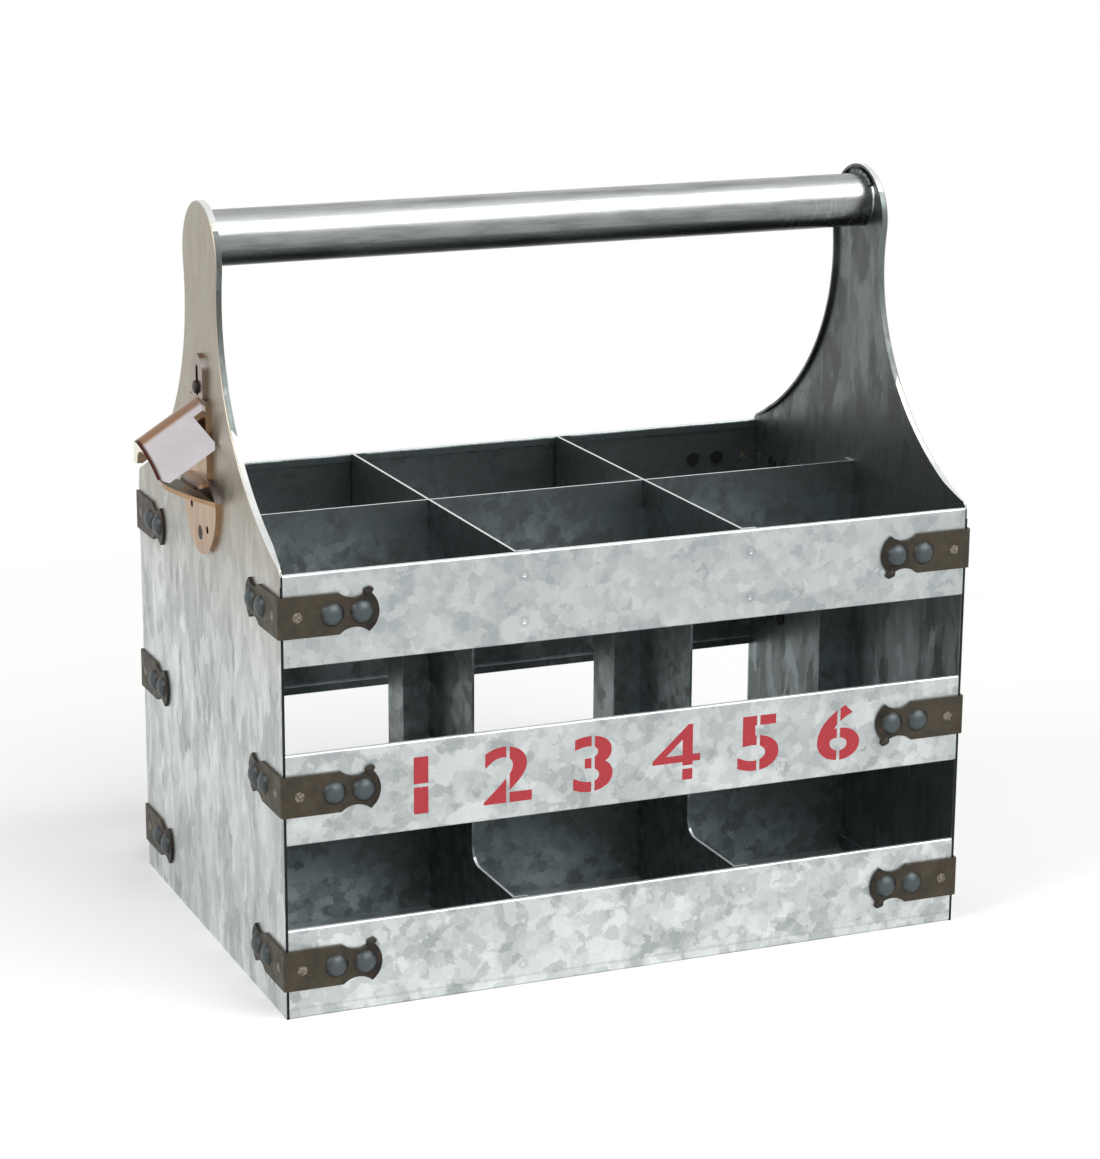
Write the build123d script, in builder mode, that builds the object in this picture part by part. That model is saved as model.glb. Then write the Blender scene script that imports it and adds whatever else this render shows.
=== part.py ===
from build123d import *
import math
import os

os.makedirs("parts", exist_ok=True)

# Six-bottle caddy of galvanised sheet, with riveted corner straps, a tube
# handle and a bottle opener on its left end. Millimetres, +Z up, X along
# the handle. The origin is the middle of the base, on the ground.

# Box
box_length = 330.0
box_width = 215.0
sheet = 1.2
fit_gap = 0.2
overrun = 2.0

# Slats, with a hem folded inwards along both long edges
slat_height = 41.0
slat_pitch = 79.5
hem_height = 4.0
hem_depth = 2.8
hem_round = 1.1
weld_depth = 0.35
weld_radius = 2.2
weld_inset = 10.0

# End panels: square shoulders, a hollow curve up to the neck, a round head
shoulder_rise = 1.8
shoulder_round = 5.0
shoulder_angle = 18.6
shoulder_pull_share = 0.52
neck_pull_share = 0.43
head_radius = 25.0
head_height = 319.0
head_start_angle = 10.8
flange_depth = 3.2
flange_taper = 18.0
flange_clear = 0.6
flange_bend_share = 0.75

# Floor tray
tray_rim = 8.0

# Dividers
divider_spacing = 109.0
divider_shift = -2.3
tab_width = 7.5
joint_height = 100.0
recess_half_width = 55.0
recess_round = 8.0
window_width = 80.0
window_bottom = 60.0
window_round = 8.0

# Handle tube with a bead of weld at each end
handle_radius = 12.5
handle_wall = 1.5
handle_rise = 8.1
weld_bead = 0.8

# Corner straps
strap_leg = 44.0
strap_height = 18.2
strap_thickness = 1.4
strap_straight = 26.0
strap_waist_reach = 32.5
strap_waist_height = 12.8
strap_cusp_reach = 39.3
strap_cusp_height = 17.9
strap_rise = 1.9
strap_bend = 1.5

# Rivets and pins of the straps, with their distances from the corner
rivet_reaches = (22.8, 36.2)
rivet_head_radius = 5.3
rivet_head_height = 2.7
rivet_shank_radius = 2.2
rivet_tail_radius = 3.4
rivet_tail_height = 1.0
pin_reach = 7.0
pin_radius = 2.25
pin_crown = 0.35
hole_clearance = 0.15

# Bottle opener: lug and spine on the panel, hood above, jaw and tongue below.
# Its drops and rises are taken from the rivet in its lug.
opener_shift = -1.5
opener_plate = 2.4
opener_wall = 2.0
lug_rivet_drop = 57.5
lug_half_width = 8.0
lug_rise = 15.0
lug_drop = 5.5
lug_slot_width = 3.4
lug_slot_length = 14.0
lug_slot_rise = 3.0
spine_half_width = 12.0
hood_root_drop = 3.0
hood_angle = 32.0
hood_half_width = 23.0
hood_rise = 17.0
flank_angle = 49.0
hood_back = 10.5
hood_reach = 37.2
hood_front_radius = 54.0
hood_front_cut = 7.0
hood_back_cut = 3.0
lip_drop = 6.0
lip_thickness = 2.2
jaw_half_width = 24.0
jaw_reach = 19.5
jaw_root_drop = 48.5
jaw_rim_drop = 42.5
tongue_half_width = 13.5
tongue_rise = 2.5
tongue_reach = 8.0
tongue_thickness = 1.8
tongue_drop = 2.4
tongue_round = 3.0
plate_tip_drop = 76.5
plate_side_drop = 52.5
plate_pull_drop = 62.5
fixing_hole_drop = 66.5
fixing_hole_radius = 3.4
pilot_radius = 1.8
pilot_places = ((12.4, 55.8), (-10.8, 63.1))
pin_head_radius = 2.9
pin_head_height = 1.5
pin_shank_radius = 1.5
pin_tail_radius = 2.6

# Values that follow from the sizes above
half_length = box_length / 2
half_width = box_width / 2
inner_half_length = half_length - sheet
hem_face = half_width - hem_depth
slat_bottoms = (0.0, slat_pitch, 2 * slat_pitch)
box_top = slat_bottoms[2] + slat_height
shoulder_height = box_top + shoulder_rise
bend_start = box_top - shoulder_round
handle_height = head_height + handle_rise
tray_clear = tray_rim + fit_gap
strap_heights = [bottom + slat_height / 2 + strap_rise for bottom in slat_bottoms]
divider_places = (divider_shift - divider_spacing / 2, divider_shift + divider_spacing / 2)
weld_places = [x + (tab_width - sheet) / 2 for x in divider_places]
fastener_reaches = (pin_reach,) + rivet_reaches
fastener_radii = (pin_radius,) + (rivet_shank_radius,) * len(rivet_reaches)
lug_rivet_height = head_height - lug_rivet_drop
lug_top = lug_rivet_height + lug_rise
lug_bottom = lug_rivet_height - lug_drop
lug_slot_height = lug_rivet_height + lug_slot_rise
hood_root_height = lug_rivet_height - hood_root_drop
jaw_root = lug_rivet_height - jaw_root_drop
jaw_rim = lug_rivet_height - jaw_rim_drop
tongue_height = jaw_rim + tongue_rise
plate_tip = lug_rivet_height - plate_tip_drop
plate_side_bottom = lug_rivet_height - plate_side_drop
plate_pull = lug_rivet_height - plate_pull_drop
fixing_hole_height = lug_rivet_height - fixing_hole_drop


def finish(block, name):
    """Label one finished piece and write it to its own file."""
    block.part.label = name
    export_step(block.part, f"parts/{name}.step")


def slat_face_plane(side, face, height):
    """Plane on a slat's outer face at a corner: x runs inwards along the slat."""
    corner = (side * half_length, face * half_width, height)
    return Plane(origin=corner, x_dir=(-side, 0, 0), z_dir=(0, face, 0))


def panel_face_plane(side, face, height):
    """Plane on a panel's outer face at a corner: x runs inwards along the panel."""
    corner = (side * half_length, face * half_width, height)
    return Plane(origin=corner, x_dir=(0, -face, 0), z_dir=(side, 0, 0))


# Holes that the rivets and pins of one strap leg need, from the corner outwards
with BuildSketch() as strap_holes:
    for reach, radius in zip(fastener_reaches, fastener_radii):
        with Locations((reach, 0)):
            Circle(radius + hole_clearance)


# Slats
def make_slat(face, bottom, name, welded):
    with BuildPart() as slat:
        with BuildSketch(Plane.YZ.offset(-inner_half_length)):
            with BuildLine():
                outer = face * half_width
                inner = face * (half_width - sheet)
                fold = face * hem_face
                top = bottom + slat_height
                Polyline(
                    (outer, bottom),
                    (outer, top),
                    (fold, top),
                    (fold, top - hem_height),
                    (inner, top - hem_height),
                    (inner, bottom + hem_height),
                    (fold, bottom + hem_height),
                    (fold, bottom),
                    close=True,
                )
            make_face()
        extrude(amount=2 * inner_half_length)
        long_edges = slat.edges().filter_by(Axis.X)
        fold_edges = long_edges.group_by(Axis.Z)[0] + long_edges.group_by(Axis.Z)[-1]
        fillet(fold_edges, radius=hem_round)
        middle = bottom + slat_height / 2 + strap_rise
        for side in (-1, 1):
            with BuildSketch(slat_face_plane(side, face, middle)):
                add(strap_holes.sketch)
            extrude(amount=-hem_depth, mode=Mode.SUBTRACT)
        if welded:
            with Locations([
                (x, face * (half_width + weld_radius - weld_depth), z)
                for x in weld_places
                for z in (bottom + weld_inset, top - weld_inset)
            ]):
                Sphere(weld_radius, mode=Mode.SUBTRACT)
    finish(slat, name)


for face, face_name in ((-1, "front"), (1, "rear")):
    for bottom, level_name in zip(slat_bottoms, ("bottom", "middle", "top")):
        make_slat(face, bottom, f"{face_name}_{level_name}_slat", level_name != "middle")


# End panels
def panel_shape(inset):
    """Outline of an end panel drawn an inset inside its edge: shoulders, neck and round head."""
    shoulder = math.radians(shoulder_angle)
    turn = math.radians(head_start_angle)
    radius = head_radius - inset
    diagonal = radius * math.sqrt(0.5)
    start = Vector(half_width, shoulder_height) - Vector(math.sin(shoulder), math.cos(shoulder)) * inset
    end = Vector(radius * math.cos(turn), head_height - radius * math.sin(turn))
    climb = end.Y - start.Y
    start_pull = Vector(-math.cos(shoulder), math.sin(shoulder)) * (shoulder_pull_share * climb)
    end_pull = Vector(-math.sin(turn), -math.cos(turn)) * (neck_pull_share * climb)
    with BuildSketch() as shape:
        with BuildLine():
            Polyline((0, 0), (start.X, 0), start)
            Bezier(start, start + start_pull, end + end_pull, end)
            ThreePointArc(end, (diagonal, head_height + diagonal), (0, head_height + radius))
            mirror(about=Plane.YZ)
        make_face()
    return shape.sketch


with BuildSketch() as panel_outline:
    add(panel_shape(0))
    shoulders = panel_outline.vertices().filter_by(
        lambda corner: abs(corner.X) > hem_face and corner.Y > box_top
    )
    fillet(shoulders, radius=shoulder_round)

# Ring inside that outline, between the slats: the section of the turned-in flange
with BuildSketch() as flange_outline:
    add(panel_outline.sketch)
    add(panel_shape(sheet), mode=Mode.SUBTRACT)
    with Locations((0, bend_start / 2)):
        Rectangle(box_width + overrun, bend_start, mode=Mode.SUBTRACT)
    for face in (-1, 1):
        with Locations((face * (hem_face - flange_clear + shoulder_round), shoulder_height)):
            Rectangle(2 * shoulder_round, 2 * slat_height, mode=Mode.SUBTRACT)


def make_end_panel(side, name):
    outer_face = Plane.YZ.offset(side * half_length)
    with BuildPart() as panel:
        with BuildSketch(outer_face):
            add(panel_outline.sketch)
            with Locations((0, bend_start / 2)):
                Rectangle(box_width, bend_start, mode=Mode.SUBTRACT)
        extrude(amount=-side * sheet)
        with BuildSketch(outer_face):
            add(flange_outline.sketch)
        extrude(amount=-side * flange_depth)
        rim = [
            edge for edge in panel.edges()
            if abs(edge.center().X - side * half_length) < fit_gap and edge.center().Z > shoulder_height
        ]
        fillet(rim, radius=flange_bend_share * sheet)
        # The flange narrows to nothing towards the shoulders
        with BuildSketch(Plane.XY.offset(bend_start)):
            for face in (-1, 1):
                with BuildLine():
                    Polyline(
                        (side * (half_length - flange_depth), face * (half_width - flange_taper)),
                        (side * (half_length - flange_depth), face * half_width),
                        (side * inner_half_length, face * half_width),
                        close=True,
                    )
                make_face()
        extrude(amount=2 * slat_height, mode=Mode.SUBTRACT)
        with BuildSketch(outer_face):
            with Locations((0, bend_start / 2)):
                Rectangle(box_width, bend_start)
        extrude(amount=-side * sheet)
        for face in (-1, 1):
            for height in strap_heights:
                with BuildSketch(panel_face_plane(side, face, height)):
                    add(strap_holes.sketch)
                extrude(amount=-sheet, mode=Mode.SUBTRACT)
        if side < 0:
            with BuildSketch(outer_face):
                with Locations((opener_shift, fixing_hole_height), (opener_shift, lug_rivet_height)):
                    Circle(pin_shank_radius + hole_clearance)
            extrude(amount=sheet, mode=Mode.SUBTRACT)
    finish(panel, name)


make_end_panel(-1, "left_end_panel")
make_end_panel(1, "right_end_panel")

# Floor tray, with a rim turned up inside the slats and panels
with BuildPart() as tray:
    with BuildSketch():
        Rectangle(2 * inner_half_length, 2 * hem_face)
    extrude(amount=tray_rim)
    with BuildSketch(Plane.XY.offset(sheet)):
        Rectangle(2 * (inner_half_length - sheet), 2 * (hem_face - sheet))
    extrude(amount=tray_rim, mode=Mode.SUBTRACT)
finish(tray, "base_tray")

# Long divider: slotted from above at each cross divider, a window in each bay
bay_edges = (-inner_half_length,) + divider_places + (inner_half_length,)
window_height = slat_bottoms[2] - window_bottom
with BuildPart() as long_divider:
    with BuildSketch(Plane.XZ.offset(-sheet / 2)):
        with Locations((0, (box_top + sheet) / 2)):
            Rectangle(2 * inner_half_length, box_top - sheet)
        for side in (-1, 1):
            with Locations((side * inner_half_length, tray_clear / 2)):
                Rectangle(2 * (sheet + fit_gap), tray_clear, mode=Mode.SUBTRACT)
        for x in divider_places:
            with Locations((x, (joint_height + box_top + overrun) / 2)):
                Rectangle(sheet + 2 * fit_gap, box_top + overrun - joint_height, mode=Mode.SUBTRACT)
        for start, end in zip(bay_edges, bay_edges[1:]):
            with Locations(((start + end) / 2, window_bottom + window_height / 2)):
                RectangleRounded(window_width, window_height, window_round, mode=Mode.SUBTRACT)
    extrude(amount=sheet)
    for side in (-1, 1):
        tab_middle = side * (inner_half_length - sheet / 2)
        with BuildSketch(Plane.XY.offset(tray_clear)):
            with Locations((tab_middle, (tab_width - sheet) / 2)):
                Rectangle(sheet, tab_width)
        extrude(amount=box_top - tray_clear)
finish(long_divider, "long_divider")


# Cross dividers: arms behind the top and bottom slats, each ending in a welded tab
def make_cross_divider(x, name):
    recess_depth = hem_face - recess_half_width
    recess_height = slat_bottoms[2] - slat_height
    with BuildPart() as divider:
        with BuildSketch(Plane.YZ.offset(x - sheet / 2)):
            with Locations((0, (box_top + sheet) / 2)):
                Rectangle(2 * hem_face, box_top - sheet)
            for face in (-1, 1):
                with Locations((face * hem_face, tray_clear / 2)):
                    Rectangle(2 * (sheet + fit_gap), tray_clear, mode=Mode.SUBTRACT)
                with Locations((face * hem_face, slat_height + recess_height / 2)):
                    RectangleRounded(2 * recess_depth, recess_height, recess_round, mode=Mode.SUBTRACT)
            with Locations((0, joint_height / 2)):
                Rectangle(sheet + 2 * fit_gap, joint_height + fit_gap, mode=Mode.SUBTRACT)
        extrude(amount=sheet)
        for face in (-1, 1):
            for low, high in ((tray_clear, slat_height), (slat_bottoms[2], box_top)):
                with BuildSketch(Plane.XY.offset(low)):
                    with Locations((x + (tab_width - sheet) / 2, face * (hem_face - sheet / 2))):
                        Rectangle(tab_width, sheet)
                extrude(amount=high - low)
    finish(divider, name)


make_cross_divider(divider_places[0], "left_cross_divider")
make_cross_divider(divider_places[1], "right_cross_divider")

# Handle tube
with BuildPart() as handle:
    with BuildSketch(Plane.YZ.offset(-inner_half_length)):
        with Locations((0, handle_height)):
            Circle(handle_radius)
            Circle(handle_radius - handle_wall, mode=Mode.SUBTRACT)
    extrude(amount=2 * inner_half_length)
    tube_top = handle_height + handle_radius
    for side in (-1, 1):
        end = side * inner_half_length
        with BuildSketch(Plane.XZ):
            with BuildLine():
                Polyline(
                    (end - side * weld_bead, tube_top),
                    (end - side * weld_bead, tube_top - handle_wall / 2),
                    (end, tube_top - handle_wall / 2),
                    (end, tube_top + weld_bead),
                )
                RadiusArc((end, tube_top + weld_bead), (end - side * weld_bead, tube_top), side * weld_bead)
            make_face()
        revolve(axis=Axis((0, 0, handle_height), (1, 0, 0)))
finish(handle, "handle_tube")


# Corner straps: two alike legs, waisted behind a crescent end, bent round the corner
with BuildSketch() as strap_leg_outline:
    half = strap_height / 2
    waist = strap_waist_height / 2
    cusp = strap_cusp_height / 2
    with BuildLine():
        Line((-strap_thickness, half), (strap_straight, half))
        ThreePointArc((strap_straight, half), (strap_waist_reach, waist), (strap_cusp_reach, cusp))
        ThreePointArc((strap_cusp_reach, cusp), (strap_leg, 0), (strap_cusp_reach, -cusp))
        ThreePointArc((strap_cusp_reach, -cusp), (strap_waist_reach, -waist), (strap_straight, -half))
        Line((strap_straight, -half), (-strap_thickness, -half))
        Line((-strap_thickness, -half), (-strap_thickness, half))
    make_face()
    add(strap_holes.sketch, mode=Mode.SUBTRACT)


def make_strap(side, face, height, name):
    with BuildPart() as strap:
        for plane in (slat_face_plane(side, face, height), panel_face_plane(side, face, height)):
            with BuildSketch(plane):
                add(strap_leg_outline.sketch)
            extrude(amount=strap_thickness)
        upright = strap.edges().filter_by(Axis.Z)
        corner = upright.sort_by(lambda edge: side * edge.center().X + face * edge.center().Y)[-1]
        fillet(corner, radius=strap_bend)
    finish(strap, name)


def turning_plane(plane, reach):
    """Plane through a fastener's axis: its x is the radius, its y the height over the sheet."""
    seat = plane.from_local_coords((reach, 0, 0))
    return Plane(origin=seat, x_dir=plane.x_dir, z_dir=plane.x_dir.cross(plane.z_dir))


def crown_radius(head_radius, crown_height):
    """Radius of the sphere that a shallow round head is cut from."""
    return (head_radius**2 + crown_height**2) / (2 * crown_height)


# Half section of a domed rivet through a strap and one sheet
with BuildSketch() as rivet_profile:
    crown = strap_thickness + rivet_head_height
    with BuildLine():
        RadiusArc(
            (0, crown),
            (rivet_head_radius, strap_thickness),
            crown_radius(rivet_head_radius, rivet_head_height),
        )
        Polyline(
            (rivet_head_radius, strap_thickness),
            (rivet_shank_radius, strap_thickness),
            (rivet_shank_radius, -sheet),
            (rivet_tail_radius, -sheet),
            (rivet_tail_radius, -sheet - rivet_tail_height),
            (0, -sheet - rivet_tail_height),
            (0, crown),
        )
    make_face()

# Half section of a pin with a faintly crowned head
with BuildSketch() as pin_profile:
    crown = strap_thickness + pin_crown
    with BuildLine():
        RadiusArc((0, crown), (pin_radius, strap_thickness), crown_radius(pin_radius, pin_crown))
        Polyline((pin_radius, strap_thickness), (pin_radius, -sheet), (0, -sheet), (0, crown))
    make_face()

for side, side_name in ((-1, "left"), (1, "right")):
    for face, face_name in ((-1, "front"), (1, "rear")):
        corner_name = f"{face_name}_{side_name}"
        for height, level_name in zip(strap_heights, ("bottom", "middle", "top")):
            make_strap(side, face, height, f"{corner_name}_{level_name}_strap")
            with BuildPart() as rivets:
                for plane in (slat_face_plane(side, face, height), panel_face_plane(side, face, height)):
                    for reach in rivet_reaches:
                        turning = turning_plane(plane, reach)
                        with BuildSketch(turning):
                            add(rivet_profile.sketch)
                        revolve(axis=Axis(turning.origin, turning.y_dir))
            finish(rivets, f"{corner_name}_{level_name}_rivets")
        with BuildPart() as pins:
            for height in strap_heights:
                for plane in (slat_face_plane(side, face, height), panel_face_plane(side, face, height)):
                    turning = turning_plane(plane, pin_reach)
                    with BuildSketch(turning):
                        add(pin_profile.sketch)
                    revolve(axis=Axis(turning.origin, turning.y_dir))
        finish(pins, f"{corner_name}_pins")

# Bottle opener. The slope plane's x runs along Y, its y down and inwards, its z out along the hood.
slope = math.radians(hood_angle)
opener_face = Plane(origin=(-half_length, opener_shift, 0), x_dir=(0, -1, 0), z_dir=(-1, 0, 0))
slope_plane = Plane(
    origin=(-half_length, opener_shift, hood_root_height),
    x_dir=(0, 1, 0),
    z_dir=(-math.cos(slope), 0, -math.sin(slope)),
)
# Side plane of the opener: its x is along the hood, its y is down and inwards
side_plane = Plane(
    origin=slope_plane.origin,
    x_dir=slope_plane.z_dir,
    z_dir=slope_plane.z_dir.cross(slope_plane.y_dir),
)
# Plane over the hood's top: its x is along the hood, its z out of the hood
top_plane = Plane(origin=slope_plane.origin, x_dir=slope_plane.z_dir, z_dir=-slope_plane.y_dir)
countersink_reach = fixing_hole_radius - pin_shank_radius - hole_clearance
countersink_angle = math.degrees(math.atan(countersink_reach / opener_plate))
hood_foot_reach = hood_reach + hood_front_radius - math.sqrt(hood_front_radius**2 - hood_half_width**2)


def roof_section(ridge_thickness):
    """Section of the hood: two flat flanks under a round ridge, with a wall of one thickness at the ridge."""
    flank = math.radians(flank_angle)
    inner_foot = hood_half_width - opener_wall / math.cos(flank)
    with BuildSketch() as section:
        for foot, top, mode in ((hood_half_width, 0, Mode.ADD), (inner_foot, ridge_thickness, Mode.SUBTRACT)):
            apex = hood_rise - foot / math.tan(flank)
            ridge_radius = (top - apex) / (1 / math.sin(flank) - 1)
            with BuildLine():
                FilletPolyline((-foot, hood_rise), (0, apex), (foot, hood_rise), radius=ridge_radius)
                Line((foot, hood_rise), (-foot, hood_rise))
            make_face(mode=mode)
    return section.sketch


# Hood and neck: a roof of sheet with a hollow front edge, free of the panel except at its neck
with BuildPart() as hood:
    with BuildSketch(slope_plane.offset(-hood_back)):
        add(roof_section(opener_wall))
    extrude(amount=hood_back + hood_foot_reach + overrun)
    with BuildSketch(top_plane):
        with Locations((hood_reach + hood_front_radius, 0)):
            Circle(hood_front_radius)
    extrude(amount=hood_rise + overrun, both=True, mode=Mode.SUBTRACT)
    with BuildSketch(side_plane):
        for corner, cut in ((hood_back, hood_back_cut), (hood_foot_reach, hood_front_cut)):
            with Locations((corner, hood_rise)):
                Rectangle(cut, cut, rotation=45)
    extrude(amount=hood_half_width + overrun, both=True, mode=Mode.SUBTRACT)
    with BuildSketch(slope_plane.offset(-hood_back - overrun)):
        for side in (-1, 1):
            cheek = hood_half_width + overrun - lug_half_width
            with Locations((side * (lug_half_width + cheek / 2), hood_rise / 2)):
                Rectangle(cheek, 2 * hood_rise)
    extrude(amount=2 * hood_back + overrun, mode=Mode.SUBTRACT)
    with BuildSketch(Plane.YZ.offset(-half_length)):
        with Locations((opener_shift, hood_root_height)):
            Rectangle(4 * hood_half_width, 4 * hood_half_width)
    extrude(amount=hood_half_width, mode=Mode.SUBTRACT)

# Lip: a crescent turned down inside the hood's front edge
with BuildPart() as lip:
    with BuildSketch(slope_plane.offset(hood_reach - overrun - lip_thickness)):
        add(roof_section(lip_drop))
    extrude(amount=lip_thickness + hood_foot_reach - hood_reach)
    with BuildSketch(top_plane):
        with Locations((hood_reach + hood_front_radius, 0)):
            Circle(hood_front_radius + lip_thickness)
            Circle(hood_front_radius, mode=Mode.SUBTRACT)
    extrude(amount=hood_rise - hood_front_cut, both=True, mode=Mode.INTERSECT)


# Jaw: a half-round shelf that slopes up and out from the panel
with BuildPart() as jaw:
    with BuildSketch(Plane.XZ.offset(-opener_shift)):
        with BuildLine():
            Polyline(
                (-half_length, jaw_root),
                (-half_length - jaw_reach, jaw_rim),
                (-half_length - jaw_reach, jaw_rim - opener_wall),
                (-half_length, jaw_root - opener_wall),
                close=True,
            )
        make_face()
    extrude(amount=jaw_half_width, both=True)
    with BuildSketch(Plane.XY.offset(jaw_root - opener_wall)):
        with Locations((-half_length, opener_shift)):
            Ellipse(jaw_reach, jaw_half_width)
    extrude(amount=jaw_rim - jaw_root + opener_wall, mode=Mode.INTERSECT)

with BuildPart() as opener:
    # Lower plate, spine and lug, flat on the panel
    with BuildSketch(opener_face):
        with BuildLine():
            side_line = Line((jaw_half_width, jaw_root), (jaw_half_width, plate_side_bottom))
            Bezier(
                side_line @ 1,
                (jaw_half_width, plate_pull),
                (tongue_half_width, plate_tip),
                (0, plate_tip),
            )
            Line((jaw_half_width, jaw_root), (tongue_half_width, tongue_height))
            Line((tongue_half_width, tongue_height), (0, tongue_height))
            mirror(about=Plane.YZ)
        make_face()
        with Locations((0, (lug_bottom + tongue_height) / 2)):
            Rectangle(2 * spine_half_width, lug_bottom - tongue_height + overrun)
        with Locations((0, (lug_bottom + lug_top - lug_half_width) / 2)):
            Rectangle(2 * lug_half_width, lug_top - lug_half_width - lug_bottom)
        with Locations((0, lug_top - lug_half_width)):
            Circle(lug_half_width)
    extrude(amount=opener_plate)
    # Tongue, bent out of the plate's top and sloping down
    with BuildSketch(Plane.XZ.offset(-opener_shift)):
        with BuildLine():
            Polyline(
                (-half_length, tongue_height),
                (-half_length - tongue_reach, tongue_height - tongue_drop),
                (-half_length - tongue_reach, tongue_height - tongue_drop - tongue_thickness),
                (-half_length, tongue_height - tongue_thickness),
                close=True,
            )
        make_face()
    extrude(amount=tongue_half_width, both=True)
    tongue_corners = [
        edge for edge in opener.edges().filter_by(Axis.Z)
        if abs(edge.center().X + half_length + tongue_reach) < fit_gap
    ]
    fillet(tongue_corners, radius=tongue_round)
    add(jaw.part)
    add(hood.part)
    add(lip.part)
    # Slot in the lug, a countersunk fixing hole and two pilot holes in the lower plate
    with BuildSketch(opener_face):
        with Locations((0, lug_slot_height)):
            SlotOverall(lug_slot_length, lug_slot_width, rotation=90)
        for across, drop in pilot_places:
            with Locations((-across, lug_rivet_height - drop)):
                Circle(pilot_radius)
    extrude(amount=hood_half_width, mode=Mode.SUBTRACT)
    with BuildSketch(opener_face.offset(opener_plate)):
        with Locations((0, fixing_hole_height)):
            Circle(fixing_hole_radius)
    extrude(amount=-opener_plate, taper=countersink_angle, mode=Mode.SUBTRACT)
finish(opener, "bottle_opener")

# Rivets of the opener: a round head over the lug's slot, a countersunk one in the lower plate
with BuildPart() as opener_rivets:
    with BuildSketch(opener_face.offset(-sheet)):
        with Locations((0, lug_rivet_height), (0, fixing_hole_height)):
            Circle(pin_shank_radius)
    extrude(amount=sheet + opener_plate)
    with BuildSketch(opener_face.offset(opener_plate)):
        with Locations((0, fixing_hole_height)):
            Circle(fixing_hole_radius - hole_clearance)
    extrude(amount=-opener_plate, taper=countersink_angle)
    with BuildSketch(opener_face.offset(opener_plate)):
        with Locations((0, lug_rivet_height)):
            Circle(pin_head_radius)
    extrude(amount=pin_head_height)
    head_rim = opener_rivets.edges().filter_by(GeomType.CIRCLE).sort_by(Axis.X)[0]
    fillet(head_rim, radius=pin_head_height / 2)
    with BuildSketch(opener_face.offset(-sheet - rivet_tail_height)):
        with Locations((0, lug_rivet_height)):
            Circle(pin_tail_radius)
    extrude(amount=rivet_tail_height)
finish(opener_rivets, "opener_rivets")
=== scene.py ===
import math

import bmesh
import bpy
from bpy.props import (
    FloatProperty,
    FloatVectorProperty,
    IntProperty,
    PointerProperty,
    StringProperty,
)
from mathutils import Matrix, Vector


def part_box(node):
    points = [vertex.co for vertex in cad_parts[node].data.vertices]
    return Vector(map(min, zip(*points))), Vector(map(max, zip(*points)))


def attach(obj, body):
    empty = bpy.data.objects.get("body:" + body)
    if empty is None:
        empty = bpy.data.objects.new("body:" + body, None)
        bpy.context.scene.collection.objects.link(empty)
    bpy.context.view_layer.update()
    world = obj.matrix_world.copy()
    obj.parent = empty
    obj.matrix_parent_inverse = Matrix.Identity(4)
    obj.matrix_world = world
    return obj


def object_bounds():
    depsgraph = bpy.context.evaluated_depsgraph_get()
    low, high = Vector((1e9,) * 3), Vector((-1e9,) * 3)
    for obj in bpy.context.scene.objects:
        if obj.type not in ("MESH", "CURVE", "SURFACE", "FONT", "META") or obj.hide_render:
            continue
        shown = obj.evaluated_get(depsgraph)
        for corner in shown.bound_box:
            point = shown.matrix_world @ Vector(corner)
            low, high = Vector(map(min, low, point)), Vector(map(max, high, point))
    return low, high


# Looks of a six-bottle caddy of galvanised sheet: its metals, the painted
# numerals on its middle slat, the welds of its handle, and its stage.

bl_info = {
    "name": "Bottle Caddy",
    "version": (1, 0, 0),
    "blender": (4, 5, 0),
    "location": "3D View > Sidebar > Caddy",
    "description": "Dresses a galvanised bottle caddy and sets its stage",
    "category": "Object",
}

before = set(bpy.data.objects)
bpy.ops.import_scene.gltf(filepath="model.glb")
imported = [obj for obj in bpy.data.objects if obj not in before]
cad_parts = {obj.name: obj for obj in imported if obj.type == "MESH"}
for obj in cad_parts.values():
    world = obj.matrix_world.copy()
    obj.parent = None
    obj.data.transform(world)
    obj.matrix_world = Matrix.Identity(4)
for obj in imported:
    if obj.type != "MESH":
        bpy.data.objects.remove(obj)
cad_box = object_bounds()

MM = 0.001

# Sockets of a Mix node: its share, two numbers or two colours to mix, and the mixed colour
SHARE, LOW, HIGH, BELOW, ABOVE, MIXED = 0, 2, 3, 6, 7, 2

SLATS = [
    f"{face}_{level}_slat"
    for face in ("front", "rear")
    for level in ("bottom", "middle", "top")
]
CORNERS = [f"{face}_{side}" for face in ("front", "rear") for side in ("left", "right")]
STRAPS = [f"{corner}_{level}_strap" for corner in CORNERS for level in ("bottom", "middle", "top")]
RIVETS = [f"{corner}_{level}_rivets" for corner in CORNERS for level in ("bottom", "middle", "top")]
PINS = [f"{corner}_pins" for corner in CORNERS]

# Stencil bridges that don't run down a numeral's middle: the axis they cut across, and how far
# they are from its middle, as a share of its height
BRIDGES = {"1": (1, 0.0), "4": (1, -0.27)}

# Numerals whose eye would close if their outline were pushed out
NARROW_EYED = "4"

# Stencil numerals are this much wider than the type
NUMERAL_WIDENING = 1.36

# Sizes of the part that its finishes follow, from its source
PANEL_OUTSIDE = 165.0 * MM
PANEL_INSIDE = 163.8 * MM
SLAT_INSIDE = 106.3 * MM
SLAT_PITCH = 79.5 * MM
MIDDLE_HEIGHT = 100.0 * MM
TUBE_RADIUS = 12.5 * MM

# Strap and rivet heads stand this far out of the slats, and a strap's tack sits here on its horn
STRAP_PROUD = 1.4 * MM + 2.7 * MM
TACK_REACH = 39.0 * MM
TACK_RISE = 8.6 * MM

# Spot welds: middle of the dividers, and their distance along and across a slat
WELD_MIDDLE = 0.85 * MM
WELD_REACH = 54.5 * MM
WELD_RISE = 10.5 * MM

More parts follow.
